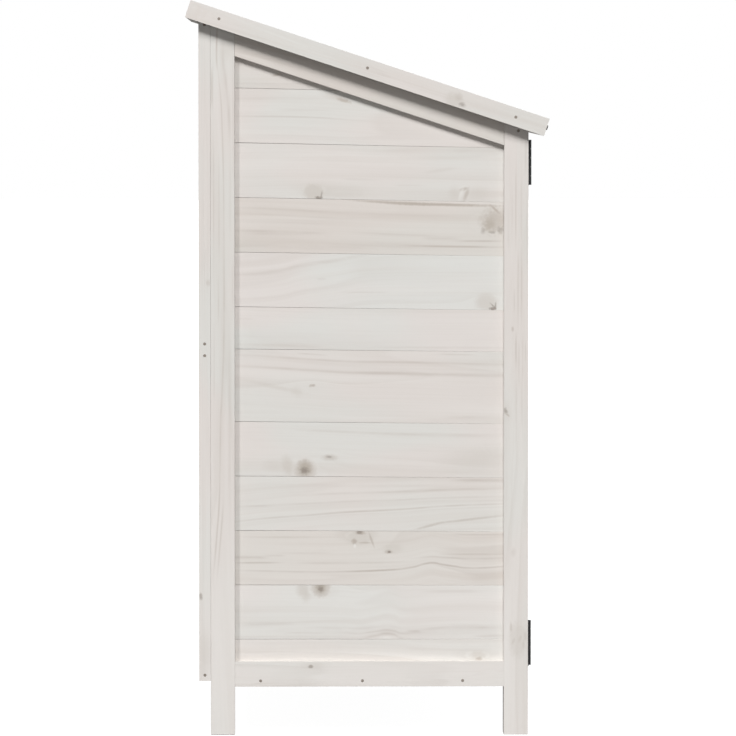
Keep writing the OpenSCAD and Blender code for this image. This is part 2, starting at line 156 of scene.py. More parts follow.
def add_floor():
    """A white floor that keeps a faint shadow of the shed."""
    bpy.ops.mesh.primitive_plane_add(size=FLOOR_SIZE, location=(0, 0, -FLOOR_BELOW))
    floor = bpy.context.object
    floor.name = "floor"
    material = bpy.data.materials.new("white_floor")
    material.use_nodes = True
    tree = material.node_tree
    tree.nodes.clear()
    path = tree.nodes.new("ShaderNodeLightPath")
    pale = tree.nodes.new("ShaderNodeBsdfDiffuse")
    faint = tree.nodes.new("ShaderNodeBsdfDiffuse")
    glow = tree.nodes.new("ShaderNodeEmission")
    add = tree.nodes.new("ShaderNodeAddShader")
    mix = tree.nodes.new("ShaderNodeMixShader")
    out = tree.nodes.new("ShaderNodeOutputMaterial")
    pale.inputs["Color"].default_value = FLOOR_GREY
    faint.inputs["Color"].default_value = SHADOW_GREY
    glow.inputs["Strength"].default_value = FLOOR_GLOW
    tree.links.new(faint.outputs[0], add.inputs[0])
    tree.links.new(glow.outputs[0], add.inputs[1])
    tree.links.new(path.outputs["Is Camera Ray"], mix.inputs[0])
    tree.links.new(pale.outputs[0], mix.inputs[1])
    tree.links.new(add.outputs[0], mix.inputs[2])
    tree.links.new(mix.outputs[0], out.inputs["Surface"])
    floor.data.materials.append(material)


# Materials


class Shading:
    """Shader nodes, added one at a time to a material or to a shared group."""

    def __init__(self, tree):
        self.tree = tree

    def node(self, kind, **settings):
        made = self.tree.nodes.new("ShaderNode" + kind)
        for key, value in settings.items():
            setattr(made, key, value)
        return made

    def feed(self, socket, value):
        if isinstance(value, bpy.types.NodeSocket):
            self.tree.links.new(value, socket)
        else:
            socket.default_value = value

    def use(self, group, **values):
        """One copy of a shared group, fed by the names of its inputs."""
        made = self.node("Group", node_tree=group)
        for key, value in values.items():
            self.feed(made.inputs[key], value)
        return made.outputs[0]

    def math(self, operation, a, b=0.0, c=0.0):
        made = self.node("Math", operation=operation)
        for socket, value in zip(made.inputs, (a, b, c)):
            self.feed(socket, value)
        return made.outputs[0]

    def vector(self, operation, a, b=(0, 0, 0)):
        made = self.node("VectorMath", operation=operation)
        self.feed(made.inputs[0], a)
        self.feed(made.inputs[1], b)
        return made.outputs["Value"] if operation == "LENGTH" else made.outputs[0]

    def split(self, vector):
        made = self.node("SeparateXYZ")
        self.feed(made.inputs[0], vector)
        return made.outputs

    def join(self, x=0.0, y=0.0, z=0.0):
        made = self.node("CombineXYZ")
        for socket, value in zip(made.inputs, (x, y, z)):
            self.feed(socket, value)
        return made.outputs[0]

    def noise(self, place, w=0.0, detail=2.0):
        made = self.node("TexNoise", noise_dimensions="4D")
        self.feed(made.inputs["Vector"], place)
        self.feed(made.inputs["W"], w)
        self.feed(made.inputs["Scale"], 1.0)
        self.feed(made.inputs["Detail"], detail)
        return made.outputs["Fac"]

    def fade(self, value, full, none):
        """1 where a value is at one bound, and smoothly down to 0 at the other."""
        made = self.node("MapRange", interpolation_type="SMOOTHSTEP")
        bounds = {"Value": value, "From Min": full, "From Max": none, "To Min": 1.0, "To Max": 0.0}
        for name, given in bounds.items():
            self.feed(made.inputs[name], given)
        return made.outputs[0]

    def ramp(self, value, *stops):
        """A curve through (place, height) stops."""
        made = self.node("ValToRGB")
        made.color_ramp.interpolation = "EASE"
        while len(made.color_ramp.elements) < len(stops):
            made.color_ramp.elements.new(0.5)
        for element, (place, height) in zip(made.color_ramp.elements, sorted(stops)):
            element.position = place
            element.color = (height, height, height, 1)
        self.feed(made.inputs[0], value)
        return made.outputs[0]

    def steps(self, value, heights):
        """One height for each equal step of a value between 0 and 1."""
        made = self.node("ValToRGB")
        made.color_ramp.interpolation = "CONSTANT"
        while len(made.color_ramp.elements) < len(heights):
            made.color_ramp.elements.new(0.5)
        for count, (element, height) in enumerate(zip(made.color_ramp.elements, heights)):
            element.position = max(0.0, (count - 0.5) / len(heights))
            element.color = (height, height, height, 1)
        self.feed(made.inputs[0], value)
        return made.outputs[0]

    def curve(self, value, points):
        """A smooth curve through (place, height) points between 0 and 1."""
        made = self.node("FloatCurve")
        drawn = made.mapping.curves[0]
        drawn.points[0].location = points[0]
        drawn.points[1].location = points[-1]
        for point in points[1:-1]:
            drawn.points.new(*point)
        made.mapping.update()
        self.feed(made.inputs["Value"], value)
        return made.outputs[0]

    def mix(self, amount, a, b):
        """Colour a, and colour b where the amount is 1. The node's colour sockets come after its others."""
        made = self.node("Mix", data_type="RGBA")
        self.feed(made.inputs[0], amount)
        self.feed(made.inputs[6], a)
        self.feed(made.inputs[7], b)
        return made.outputs[2]


class Finish(Shading):
    """One material."""

    def __init__(self, name):
        self.material = bpy.data.materials.new(name)
        self.material.use_nodes = True
        super().__init__(self.material.node_tree)
        self.shader = self.tree.nodes["Principled BSDF"]

    def bump(self, height, strength, distance):
        made = self.node("Bump")
        self.feed(made.inputs["Height"], height)
        self.feed(made.inputs["Strength"], strength)
        self.feed(made.inputs["Distance"], distance)
        self.feed(self.shader.inputs["Normal"], made.outputs[0])


# Boards are numbered in whole steps, so numbers closer than this are the same board
SAME_BOARD = 0.4


class SharedPart(Shading):
    """A group of nodes that many places use. Its inputs are named, and it has one output."""

    def __init__(self, name, result, **inputs):
        super().__init__(bpy.data.node_groups.new(name, "ShaderNodeTree"))
        for key, kind in inputs.items():
            self.tree.interface.new_socket(name=key, in_out="INPUT", socket_type="NodeSocket" + kind)
        self.tree.interface.new_socket(name="result", in_out="OUTPUT", socket_type="NodeSocket" + result)
        self.given = self.tree.nodes.new("NodeGroupInput").outputs
        self.end = self.tree.nodes.new("NodeGroupOutput").inputs[0]

    def reach(self):
        """Distance from the given spot, in half sizes of an upright or turned ellipse on the left side."""
        spot = self.node("Mapping", vector_type="TEXTURE")
        sockets = {"Vector": "place", "Location": "spot", "Rotation": "turn", "Scale": "size"}
        for socket, key in sockets.items():
            self.feed(spot.inputs[socket], self.given[key])
        return self.vector("LENGTH", self.vector("MULTIPLY", spot.outputs[0], (0, 1, 1)))

    def here(self):
        """1 on the given board."""
        return self.math("COMPARE", self.given["board"], self.given["number"], SAME_BOARD)


def make_mark_part():
    """A stain, bark ring, crack or bare spot, with a ragged soft edge."""
    made = SharedPart("mark", "Color", place="Vector", board="Float", wobble="Float", figure="Color",
                      spot="Vector", turn="Vector", size="Vector", number="Float", ragged="Float",
                      full="Float", none="Float", depth="Float", tint="Color")
    given = made.given
    reach = made.math("MULTIPLY_ADD", given["wobble"], given["ragged"], made.reach())
    inside = made.fade(reach, given["full"], given["none"])
    amount = made.math("MULTIPLY", made.math("MULTIPLY", inside, given["depth"]), made.here())
    made.feed(made.end, made.mix(amount, given["figure"], given["tint"]))
    return made.tree


def make_bend_part():
    """Bends the growth rings of one board round a knot."""
    made = SharedPart("bend", "Float", place="Vector", board="Float", rings="Float", spot="Vector",
                      turn="Vector", size="Vector", number="Float", turns="Float")
    reach = made.reach()
    fall = made.math("EXPONENT", made.math("MULTIPLY", made.math("MULTIPLY", reach, reach), -1.0))
    bent = made.math("MULTIPLY", fall, made.given["turns"])
    made.feed(made.end, made.math("MULTIPLY_ADD", bent, made.here(), made.given["rings"]))
    return made.tree


def make_line_part():
    """One dark line of the figure that follows the fall of a board's grain, all in pixels."""
    made = SharedPart("line", "Float", along="Float", across="Float", fall="Float", dark="Float",
                      level="Float", follow="Float", middle="Float", half="Float", thick="Float",
                      depth="Float")
    given = made.given
    level = made.math("MULTIPLY_ADD", given["fall"], given["follow"], given["level"])
    away = made.math("SUBTRACT", given["across"], level)
    away = made.math("POWER", made.math("ABSOLUTE", made.math("DIVIDE", away, given["thick"])), 2.0)
    far = made.math("DIVIDE", made.math("SUBTRACT", given["along"], given["middle"]), given["half"])
    far = made.math("POWER", made.math("ABSOLUTE", far), 4.0)
    drawn = made.math("EXPONENT", made.math("MULTIPLY", made.math("ADD", away, far), -1.0))
    made.feed(made.end, made.math("MULTIPLY_ADD", drawn, given["depth"], given["dark"]))
    return made.tree


def colour(red, green, blue):
    """A colour as read from the photograph, 0 to 255, in Blender's linear values."""
    parts = [c / 255 for c in (red, green, blue)]
    return (*[c / 12.92 if c < 0.04045 else ((c + 0.055) / 1.055) ** 2.4 for c in parts], 1)


# The roof's slope in degrees
ROOF_SLOPE = 18.3
# How a place is turned so that the wood's grain, which is made along X, runs along each axis
ALONG = {
    "x": (0, 0, 0),
    "y": (0, 0, math.radians(-90)),
    "z": (0, math.radians(90), 0),
    "slope": (math.radians(-ROOF_SLOPE), 0, math.radians(-90)),
}

# Colours of the stained wood and of its knots, as read from the photograph
STAIN = colour(203, 197, 190)
BROWN = colour(184, 175, 166)
OLIVE = colour(166, 156, 142)
BARK = colour(146, 137, 129)
BARE = colour(228, 225, 221)
GRAIN = colour(187, 178, 170)
# PALE is the colour of the painted floor light that the wood turns towards near the ground
PALE = colour(231, 228, 224)
WARM_WOOD = colour(223, 217.5, 214)
COOL_WOOD = colour(219.5, 219.5, 216)
DEEP_WOOD = colour(212, 204.5, 197)
STREAK = colour(198, 188.5, 180)
FIBRE = colour(198, 190, 182)

# Painted floor light: the wood's colour turns lighter from this height down to the ground, by this much,
# standing in for light thrown up by the white floor
PAINTED_LIGHT_BELOW = 0.45
PAINTED_LIGHT_MOST = 0.5
# How far into the left side a mark goes
MARK_DEEP = 0.002
# How far apart two boards lie in the pattern of the wood
BOARD_STEP = 7.13
# The slant of a board's grain, from the least to the least plus the spread
SLANT_LEAST = -0.045
SLANT_SPREAD = 0.07
# How many growth rings lie between the lowest and the highest value of their field
RINGS = 11
# How strongly the tone, the bands and streaks of the rings, the pale wash and the fibres show. The bands
# and streaks grow stronger with a board's tone
TONE_SHOWN = 0.6
BANDS_SHOWN = 0.1
BANDS_BY_TONE = 0.2
WASH_SHOWN = 0.24
FIBRE_SHOWN = 0.1
# The roughness between the fibres and what a fibre adds, and how far fibres stand up and rings lie low
WOOD_ROUGH = 0.58
FIBRE_ROUGH = 0.18
FIBRE_HIGH = 0.6
BANDS_LOW = -0.4

# How fine each pattern of the wood is along its grain and across it, in cells a metre
RING_GRAIN = (1.3, 15, 15)
PATCH_GRAIN = (2.2, 20, 20)
FIBRE_GRAIN = (9, 520, 520)
STREAK_GRAIN = (2.0, 85, 85)
WASH_GRAIN = (2.6, 60, 60)
CLOUD_GRAIN = (6, 15, 15)
UNEVEN_GRAIN = (26, 160, 160)
# The same for the patterns that are alike all ways: ragged edges, orange-peel, wear and steel
RAGGED = (300, 300, 300)
PEEL = (900, 900, 900)
WEAR = (160, 160, 160)
STEEL = (1200, 1200, 1200)


def whitewash(name, runs, seed=0.0, tone=None, tones=(), knots=(), marks=(), figures=(), lines=()):
    """Softwood under thin white stain. The grain runs along one axis, and each board has its own figure."""
    made = Finish(name)
    place = made.node("TexCoord").outputs["Object"]
    turn = made.node("Mapping")
    turn.inputs["Rotation"].default_value = ALONG[runs]
    made.feed(turn.inputs["Vector"], place)
    board = made.node("Attribute", attribute_name="board").outputs["Fac"]
    w = made.math("MULTIPLY_ADD", board, BOARD_STEP, seed)
    chance = made.node("TexWhiteNoise", noise_dimensions="1D")
    made.feed(chance.inputs["W"], w)
    own = chance.outputs["Value"]

    # The grain of each board drifts: along its drawn figure, or else a little to one side
    apart = made.split(place)
    column = made.math("MULTIPLY_ADD", apart[1], -1 / PIXEL, MIDDLE_COLUMN)
    row = made.math("MULTIPLY_ADD", apart[2], -1 / PIXEL, GROUND_ROW)
    drawn = None
    if figures:
        drift, drawn = board_figures(made, board, column, row, figures)
        slant = made.join(z=drift)
    else:
        along = made.split(turn.outputs[0])[0]
        drift = made.math("MULTIPLY", along, made.math("MULTIPLY_ADD", own, SLANT_SPREAD, SLANT_LEAST))
        slant = made.join(y=drift, z=drift)
    if lines:
        drawn = upright_lines(made, apart[0], column, row, lines)
    lengthwise = made.vector("ADD", turn.outputs[0], slant)

    def stretched(grain, shift, detail=1.0):
        """A pattern drawn out along the grain. The shift keeps it apart from the other patterns."""
        spread = made.vector("MULTIPLY", lengthwise, grain)
        return made.noise(spread, made.math("ADD", w, shift), detail=detail)

    wobble = made.noise(made.vector("MULTIPLY", place, RAGGED), seed, detail=3)
    wobble = made.math("SUBTRACT", wobble, 0.5)

    # Growth rings cut lengthwise: the level lines of a field that is stretched along the grain
    rings = made.math("MULTIPLY", stretched(RING_GRAIN, shift=0.0, detail=1.5), RINGS)
    for number, at_column, at_row, wide, high, turns in knots:
        rings = made.use(bend_part, place=place, board=board, rings=rings, spot=spot(at_column, at_row),
                         size=half_sizes(wide, high), number=number, turns=turns)
    bands = made.math("FRACT", rings)
    bands = made.ramp(bands, (0.0, 0.0), (0.45, 0.08), (0.8, 0.8), (0.88, 1.0), (1.0, 0.0))
    patches = made.ramp(stretched(PATCH_GRAIN, shift=3.0), (0.36, 0.1), (0.62, 1.0))
    bands = made.math("MULTIPLY", bands, patches)
    fibre = stretched(FIBRE_GRAIN, shift=0.0, detail=2.0)
    streak = made.ramp(stretched(STREAK_GRAIN, shift=5.0, detail=2.0), (0.47, 0.0), (0.7, 1.0))
    wash = made.ramp(stretched(WASH_GRAIN, shift=7.0), (0.55, 0.0), (0.75, 1.0))
    cloud = made.ramp(stretched(CLOUD_GRAIN, shift=9.0), (0.38, 0.0), (0.62, 1.0))

    base = made.mix(cloud, WARM_WOOD, COOL_WOOD)
    if tone is None:
        tone = own
    if tones:
        tone = made.steps(made.math("MULTIPLY", board, 1 / len(tones)), tones)
    base = made.mix(made.math("MULTIPLY", tone, TONE_SHOWN), base, DEEP_WOOD)
    # Painted floor light: the colour turns lighter towards the ground, standing in for light thrown up by
    # the white floor
    painted_light_share = made.math("MULTIPLY", made.fade(apart[2], 0.0, PAINTED_LIGHT_BELOW), PAINTED_LIGHT_MOST)
    base = made.mix(painted_light_share, base, PALE)
    shown = made.math("MULTIPLY", bands, made.math("MULTIPLY_ADD", tone, BANDS_BY_TONE, BANDS_SHOWN))
    figure = made.mix(shown, base, GRAIN)
    shown = made.math("MULTIPLY", streak, made.math("MULTIPLY_ADD", tone, BANDS_BY_TONE, BANDS_SHOWN))
    figure = made.mix(shown, figure, STREAK)
    figure = made.mix(made.math("MULTIPLY", wash, WASH_SHOWN), figure, BARE)
    shown = made.math("MULTIPLY", made.ramp(fibre, (0.42, 0.0), (0.75, 1.0)), FIBRE_SHOWN)
    figure = made.mix(shown, figure, FIBRE)
    if drawn:
        uneven = made.noise(made.vector("MULTIPLY", turn.outputs[0], UNEVEN_GRAIN), 2.0, detail=2)
        drawn = made.math("MULTIPLY", drawn, made.ramp(uneven, (0.3, 0.4), (0.6, 0.8)))
        figure = made.mix(drawn, figure, GRAIN)
    # Marks numbered -1 are on the outer face of any piece on the left side, not on one board
    if marks and marks[0][0] < 0:
        board = made.math("MULTIPLY", made.math("LESS_THAN", apart[0], LEFT_FACE + MARK_DEEP), -1.0)
    for number, at_column, at_row, wide, high, turned, soft, ragged, depth, tint in marks:
        figure = made.use(mark_part, place=place, board=board, wobble=wobble, figure=figure,
                          spot=spot(at_column, at_row), turn=(math.radians(turned), 0, 0),
                          size=half_sizes(wide, high), number=number, ragged=ragged,
                          full=1 - soft, none=1 + soft, depth=depth, tint=tint)
    made.feed(made.shader.inputs["Base Color"], figure)
    made.feed(made.shader.inputs["Roughness"], made.math("MULTIPLY_ADD", fibre, FIBRE_ROUGH, WOOD_ROUGH))
    made.shader.inputs["Specular IOR Level"].default_value = 0.2
    raised = made.math("MULTIPLY_ADD", fibre, FIBRE_HIGH, made.math("MULTIPLY", bands, BANDS_LOW))
    made.bump(raised, strength=0.3, distance=0.0004)
    return made.material


def spot(column, row):
    """A place on the left side, with no X."""
    return (0, *on_side(column, row))


def half_sizes(wide, high):
    """Half the width and height of a mark, from pixels."""
    return 1, wide * PIXEL, high * PIXEL


def draw_lines(made, along, across, fall, lines):
    """The darkness of drawn lines, each given as level, follow, first, last, thickness and depth."""
    dark = 0.0
    for level, follow, first, last, thick, depth in lines:
        dark = made.use(line_part, along=along, across=across, fall=fall, dark=dark, level=level,
                        follow=follow, middle=(first + last) / 2, half=(last - first) / 2, thick=thick,
                        depth=depth)
    return dark


# The boards' drawn figures run from this column over this length. The curve of a board's fall has this
# many rows between 0 and 1, and the curve of a post's that many columns
FIGURE_START = 236.0
FIGURE_LENGTH = 270.0
BOARD_REACH = 48.0
POST_REACH = 24.0


def board_figures(made, board, column, row, figures):
    """The drift of the grain in metres and the darkness of its drawn lines, board by board."""
    along = made.math("MULTIPLY_ADD", column, 1 / FIGURE_LENGTH, -FIGURE_START / FIGURE_LENGTH)
    drift = dark = 0.0
    for number, (path, lines) in figures.items():
        here = made.math("COMPARE", board, number, SAME_BOARD)
        points = [((x - FIGURE_START) / FIGURE_LENGTH, 0.5 + y / BOARD_REACH) for x, y in path]
        fall = made.math("MULTIPLY_ADD", made.curve(along, points), BOARD_REACH, -BOARD_REACH / 2)
        drift = made.math("MULTIPLY_ADD", here, fall, drift)
        drawn = draw_lines(made, column, row, fall, lines)
        dark = made.math("MULTIPLY_ADD", here, drawn, dark)
    return made.math("MULTIPLY", drift, PIXEL), dark


def upright_lines(made, x, column, row, lines):
    """The darkness of the drawn lines of the left posts: paths of (row, column) points with their lines."""
    dark = 0.0
    for path, drawn in lines:
        first, middle = path[0]
        length = path[-1][0] - first
        along = made.math("MULTIPLY_ADD", row, 1 / length, -first / length)
        points = [((y - first) / length, 0.5 + (x - middle) / POST_REACH) for y, x in path]
        fall = made.math("MULTIPLY_ADD", made.curve(along, points), POST_REACH, -POST_REACH / 2)
        dark = made.math("ADD", dark, draw_lines(made, row, column, fall, drawn))
    on_the_left = made.math("LESS_THAN", x, 0.0)
    return made.math("MULTIPLY", dark, on_the_left)


def black_metal(name, coat, worn):
    """Satin black coating with a slight orange-peel and worn, lighter patches."""
    made = Finish(name)
    place = made.node("TexCoord").outputs["Object"]
    peel = made.noise(made.vector("MULTIPLY", place, PEEL), 0, detail=2)
    wear = made.noise(made.vector("MULTIPLY", place, WEAR), 4, detail=3)
    tone = made.mix(made.ramp(wear, (0.5, 0.0), (0.8, 1.0)), coat, worn)
    made.feed(made.shader.inputs["Base Color"], tone)
    made.feed(made.shader.inputs["Roughness"], made.math("MULTIPLY_ADD", wear, 0.25, 0.36))
    made.shader.inputs["Metallic"].default_value = 0.2
    made.bump(peel, strength=0.25, distance=0.0002)
    return made.material


# The nails' steel, which is mottled between these
DARK_STEEL = colour(120, 112, 104)
PALE_STEEL = colour(160, 150, 140)


def nail_steel():
    """Dull dark steel of the nail and screw heads."""
    made = Finish("nail_steel")
    place = made.node("TexCoord").outputs["Object"]
    spots = made.noise(made.vector("MULTIPLY", place, STEEL), 2, detail=2)
    made.feed(made.shader.inputs["Base Color"], made.mix(spots, DARK_STEEL, PALE_STEEL))
    made.feed(made.shader.inputs["Roughness"], made.math("MULTIPLY_ADD", spots, 0.3, 0.4))
    made.shader.inputs["Metallic"].default_value = 0.3
    made.bump(spots, strength=0.3, distance=0.0002)
    return made.material


# Shared steps of the modelling


def pick(*objects):
    bpy.ops.object.select_all(action="DESELECT")
    for each in objects:
        each.select_set(True)
    bpy.context.view_layer.objects.active = objects[-1]


# Edges that turn by more degrees than this are eased, and stay crisp in the shading
SHARP = 50


def ease(piece, width, angle=SHARP, segments=2):
    """Rounds the sharp edges a little."""
    pick(piece)
    rounding = piece.modifiers.new("eased", "BEVEL")
    rounding.width = width
    rounding.segments = segments
    rounding.limit_method = "ANGLE"
    rounding.angle_limit = math.radians(angle)
    bpy.ops.object.modifier_apply(modifier="eased")


# Corners closer than this are joined, and faces that turn by fewer degrees than FLAT become one
SAME_PLACE = 0.00001
FLAT = 0.5


def merged_copy(node):
    """A copy of a node's mesh with its corners joined and its flat faces whole."""
    piece = frame["nodes"][node].copy()
    piece.data = piece.data.copy()
    piece.name = node + "_finished"
    piece.parent = None
    bpy.context.collection.objects.link(piece)
    pick(piece)
    bpy.ops.object.mode_set(mode="EDIT")
    bpy.ops.mesh.select_all(action="SELECT")
    bpy.ops.mesh.remove_doubles(threshold=SAME_PLACE)
    bpy.ops.mesh.dissolve_limited(angle_limit=math.radians(FLAT))
    bpy.ops.object.mode_set(mode="OBJECT")
    return piece


def swell_board(part, by):
    """Widens a board upwards, most at its rear end, which narrows the open end of the seam above it."""
    corners = part.data.vertices
    front, rear = min(v.co.y for v in corners), max(v.co.y for v in corners)
    middle = (min(v.co.z for v in corners) + max(v.co.z for v in corners)) / 2
    for corner in corners:
        if corner.co.z > middle:
            corner.co.z += by * (corner.co.y - front) / (rear - front)


def from_the_lowest(part):
    """The middle of a board as height, depth and width, to sort boards by."""
    corners = part.data.vertices
    return tuple(round(sum(v.co[axis] for v in corners) / len(corners), 4) for axis in (2, 1, 0))


def number_boards(piece, first, swell):
    """Gives each loose board its own number, counted from the lowest up, for the wood's figure."""
    pick(piece)
    bpy.ops.mesh.separate(type="LOOSE")
    parts = sorted(bpy.context.selected_objects, key=from_the_lowest)
    for count, part in enumerate(parts):
        if swell:
            swell_board(part, swell)
        values = part.data.attributes.new("board", "FLOAT", "POINT").data
        for value in values:
            value.value = first + count
    pick(*parts[1:], parts[0])
    if len(parts) > 1:
        bpy.ops.object.join()
    joined = bpy.context.object
    # Taken apart, all parts but one have a number after a dot in their names
    joined.name = joined.name.split(".")[0]
    return joined


def finish_piece(piece, node, material):
    """Gives a finished copy its material, and puts it on its node's body in the node's place."""
    piece.data.materials.clear()
    piece.data.materials.append(material)
    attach(piece, body_of_node[node])
    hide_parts(node)


def smooth(piece):
    """Shades the rounded edges smoothly and keeps the large faces flat."""
    pick(piece)
    bpy.ops.object.shade_smooth_by_angle(angle=math.radians(SHARP))
    even = piece.modifiers.new("even", "WEIGHTED_NORMAL")
    even.keep_sharp = True
    bpy.ops.object.modifier_apply(modifier="even")


# How far the edges of posts, rails and slats are eased. The boards' edges are left as they are
WOOD_EASE = 0.0009
# The finished side boards are wider than the solids by this at their rear ends, which narrows the open
# ends of the seams
SIDE_SWELL = 0.00035


def dress_wood(node, material, first):
    """A finished copy of a wooden node, with its boards numbered from the first number."""
    piece = number_boards(merged_copy(node), first, SIDE_SWELL if "side_boards" in node else 0)
    if "boards" not in node:
        ease(piece, WOOD_EASE)
    smooth(piece)
    finish_piece(piece, node, material)


# Screws

# The knuckle's diameter, the leaf's thickness and the hinge's height, as in the solids
KNUCKLE = 0.0048
LEAF_T = 0.0012
HINGE_H = 0.054
# How far a leaf's middle screw and its other two are from the pin, and from each other in height
MIDDLE_FROM_PIN = 0.0135
OTHERS_FROM_PIN = 0.0105
SCREW_STEP = 0.019
# The thickness of the bolt's plate and keeper, and how far their screws are from their sides and ends
PLATE_T = 0.0012
PLATE_SCREW_IN = 0.018
KEEPER_SCREW_IN = 0.0028
SCREW_FROM_END = 0.0042
# A head's rounding and the depth of its cross as shares of its height, and the cross's length and width
# as shares of its radius
HEAD_ROUNDING = 0.4
CROSS_DEEP = 0.9
CROSS_LONG = 1.15
CROSS_WIDE = 0.24
# The turn of the lower leaf's middle screw, and how much more each one above it is turned, in degrees
FIRST_TURN = 17
FURTHER_TURN = 31


def make_screw(radius, height):
    """A countersunk screw head with a cross recess, facing -Y from the origin."""
    to_the_front = (math.radians(90), 0, 0)
    bpy.ops.mesh.primitive_cylinder_add(vertices=32, radius=radius, depth=height, rotation=to_the_front)
    head = bpy.context.object
    bpy.ops.object.transform_apply(rotation=True)
    ease(head, height * HEAD_ROUNDING, angle=60, segments=3)
    cutters = []
    for turn in (0, 90):
        turned = (0, math.radians(turn), 0)
        bpy.ops.mesh.primitive_cube_add(size=1, location=(0, -height / 2, 0), rotation=turned)
        cutter = bpy.context.object
        cutter.scale = (radius * CROSS_LONG, height * CROSS_DEEP, radius * CROSS_WIDE)
        bpy.ops.object.transform_apply(scale=True, rotation=True, location=True)
        cutters.append(cutter)
    for cutter in cutters:
        pick(head)
        recess = head.modifiers.new("recess", "BOOLEAN")
        recess.operation = "DIFFERENCE"
        recess.object = cutter
        bpy.ops.object.modifier_apply(modifier="recess")
        bpy.data.objects.remove(cutter)
    return head


def add_screws(node, name, places, head):
    """Copies of one screw head, joined into a piece that rides with the plate they hold."""
    copies = []
    for place, turned in places:
        copy = head.copy()
        copy.data = head.data.copy()
        bpy.context.collection.objects.link(copy)
        copy.location = place
        copy.rotation_euler = (0, math.radians(turned), 0)
        copies.append(copy)
    pick(*copies)
    bpy.ops.object.transform_apply(location=True, rotation=True)
    bpy.ops.object.join()
    joined = bpy.context.object
    joined.name = name
    smooth(joined)
    joined.data.materials.clear()
    joined.data.materials.append(screw_black)
    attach(joined, body_of_node[node])


def leaf_screw_places(node, outward):
    """Three screws in each of a side's two hinge leaves, with the middle one further from the pin.

    Outward is 1 where the leaves lie on the +X side of their pins, and else -1. Each place comes with the
    screw's turn in degrees, which differs from one to the next.
    """
    low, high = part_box(node)
    face = low.y + KNUCKLE - LEAF_T
    pin = (low.x if outward > 0 else high.x) + outward * KNUCKLE / 2
    places = []
    for count, middle in enumerate((low.z + HINGE_H / 2, high.z - HINGE_H / 2)):
        for step in (-1, 0, 1):
            x = pin + outward * (MIDDLE_FROM_PIN if step == 0 else OTHERS_FROM_PIN)
            turned = FIRST_TURN + FURTHER_TURN * (count + step)
            places.append(((x, face, middle + step * SCREW_STEP), turned))
    return places


mark_part = make_mark_part()
bend_part = make_bend_part()
line_part = make_line_part()

add_camera()
add_world(ambient=0.12)
add_softbox("key", azimuth=-3, elevation=39.5, watts=11500, size=12.7)
add_softbox("back_side", azimuth=35, elevation=37, watts=6100, size=5.0)
add_softbox("far_fill", azimuth=180, elevation=35, watts=5600, size=26.0)
add_softbox("front_fill", azimuth=-120, elevation=30, watts=5500, size=26.0)
add_floor()

# Knots of the left side: board, column, row, half width, half height, turns of the rings
SIDE_KNOTS = [
    (9, 314, 192, 20, 8, 0.9),
    (8, 490, 224, 26, 13, 1.4),
    (7, 487, 302, 20, 8, 0.9),
    (5, 312, 386, 22, 9, 0.5),
    (4, 305, 470, 26, 14, 1.3),
    (4, 329, 457, 14, 6, 0.5),
    (2, 360, 537, 26, 12, 1.2),
    (1, 320, 588, 24, 12, 1.1),
    (0, 478, 657, 20, 7, 0.8),
]

